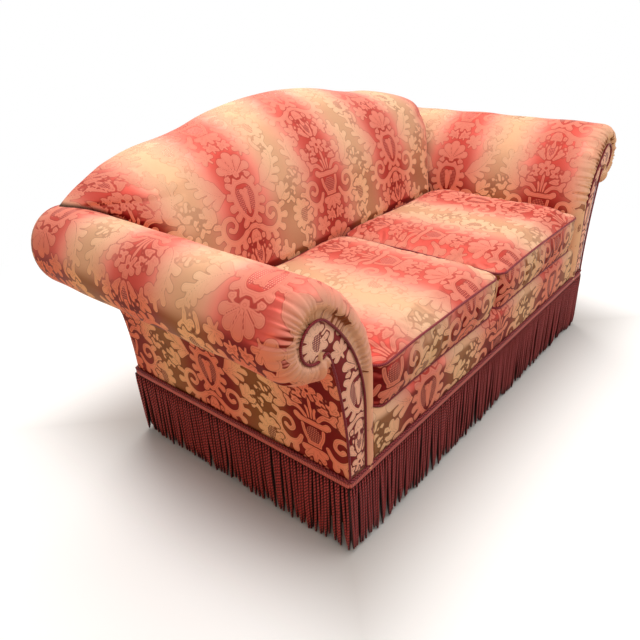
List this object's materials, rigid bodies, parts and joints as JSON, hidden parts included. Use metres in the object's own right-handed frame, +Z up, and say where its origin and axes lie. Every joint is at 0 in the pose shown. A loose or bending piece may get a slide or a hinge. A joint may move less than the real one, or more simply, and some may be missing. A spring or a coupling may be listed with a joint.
{
  "type": "camelback loveseat",
  "caption": "Loveseat with a camel-humped back, rolled arms with scroll facings, loose welted seat cushions and a deep bullion fringe round the base.",
  "frame": {"origin": "on the floor, in the middle of the floor space that the loveseat covers", "axes": "+X along the seat, to the right of a person who looks at its front; +Y from front to back; +Z up"},
  "size_m": [1.838, 0.9262, 0.938],
  "materials": {
    "damask": "woven ombre-striped damask with a silky sheen",
    "facing_damask": "woven damask, dusty pink on dark crimson",
    "welt": "matte covered piping",
    "fringe": "twisted bullion ropes with a soft lustre",
    "heading": "ribbed woven gimp",
    "cord": "twisted silky cord",
    "hardwood": "planed, unfinished",
    "foot_wood": "dark stain, satin",
    "glide": "moulded",
    "spring_steel": "drawn wire, plain",
    "webbing": "woven jute",
    "stuffing": "wadding",
    "deck_cloth": "plain twill",
    "dust_cloth": "plain woven",
    "zip_tape": "woven tape with a nylon coil",
    "zip_metal": "dull"
  },
  "bodies": {
    "frame": {"front_seat_rail": "hardwood", "rear_seat_rail": "hardwood", "centre_seat_brace": "hardwood", "lower_back_rail": "hardwood", "back_top_rail": "hardwood", "centre_back_post": "hardwood", "frame_dowels": "hardwood", "corner_blocks": "hardwood", "left_seat_rail": "hardwood", "left_back_post": "hardwood", "left_arm_stump": "hardwood", "left_arm_top_board": "hardwood", "left_lower_arm_rail": "hardwood", "left_arm_padding": "stuffing", "left_arm_cover": "damask", "left_outside_arm_cover": "damask", "left_arm_facing": "facing_damask", "left_fringe": "fringe", "front_left_foot": "foot_wood", "rear_left_foot": "foot_wood", "right_seat_rail": "hardwood", "right_back_post": "hardwood", "right_arm_stump": "hardwood", "right_arm_top_board": "hardwood", "right_lower_arm_rail": "hardwood", "right_arm_padding": "stuffing", "right_arm_cover": "damask", "right_outside_arm_cover": "damask", "right_arm_facing": "facing_damask", "right_fringe": "fringe", "front_right_foot": "foot_wood", "rear_right_foot": "foot_wood", "foot_glides": "glide", "foot_bolts": "spring_steel", "seat_springs": "spring_steel", "spring_clips": "spring_steel", "back_webbing": "webbing", "front_edge_padding": "stuffing", "deck_pad": "stuffing", "back_padding": "stuffing", "front_border_cover": "damask", "inside_back_cover": "damask", "outside_back_cover": "damask", "deck_cover": "deck_cloth", "dust_cover": "dust_cloth", "facing_welts": "welt", "front_fringe": "fringe", "rear_fringe": "fringe", "fringe_heading": "heading", "twisted_cord": "cord"},
    "left_cushion": {"left_cushion_filling": "stuffing", "left_cushion_cover": "damask", "left_cushion_welts": "welt", "left_cushion_zip": "zip_tape"},
    "left_slider": {"left_zip_slider": "zip_metal"},
    "right_cushion": {"right_cushion_filling": "stuffing", "right_cushion_cover": "damask", "right_cushion_welts": "welt", "right_cushion_zip": "zip_tape"},
    "right_slider": {"right_zip_slider": "zip_metal"}
  },
  "joints": [
    {"name": "left_cushion_lift", "type": "slide", "parent": "frame", "child": "left_cushion", "axis": [0, 0, 1], "range_m": [0, 0.6]},
    {"name": "left_zip", "type": "slide", "parent": "left_cushion", "child": "left_slider", "axis": [-1, 0, 0], "range_m": [0, 0.4]},
    {"name": "right_cushion_lift", "type": "slide", "parent": "frame", "child": "right_cushion", "axis": [0, 0, 1], "range_m": [0, 0.6]},
    {"name": "right_zip", "type": "slide", "parent": "right_cushion", "child": "right_slider", "axis": [1, 0, 0], "range_m": [0, 0.4]}
  ]
}
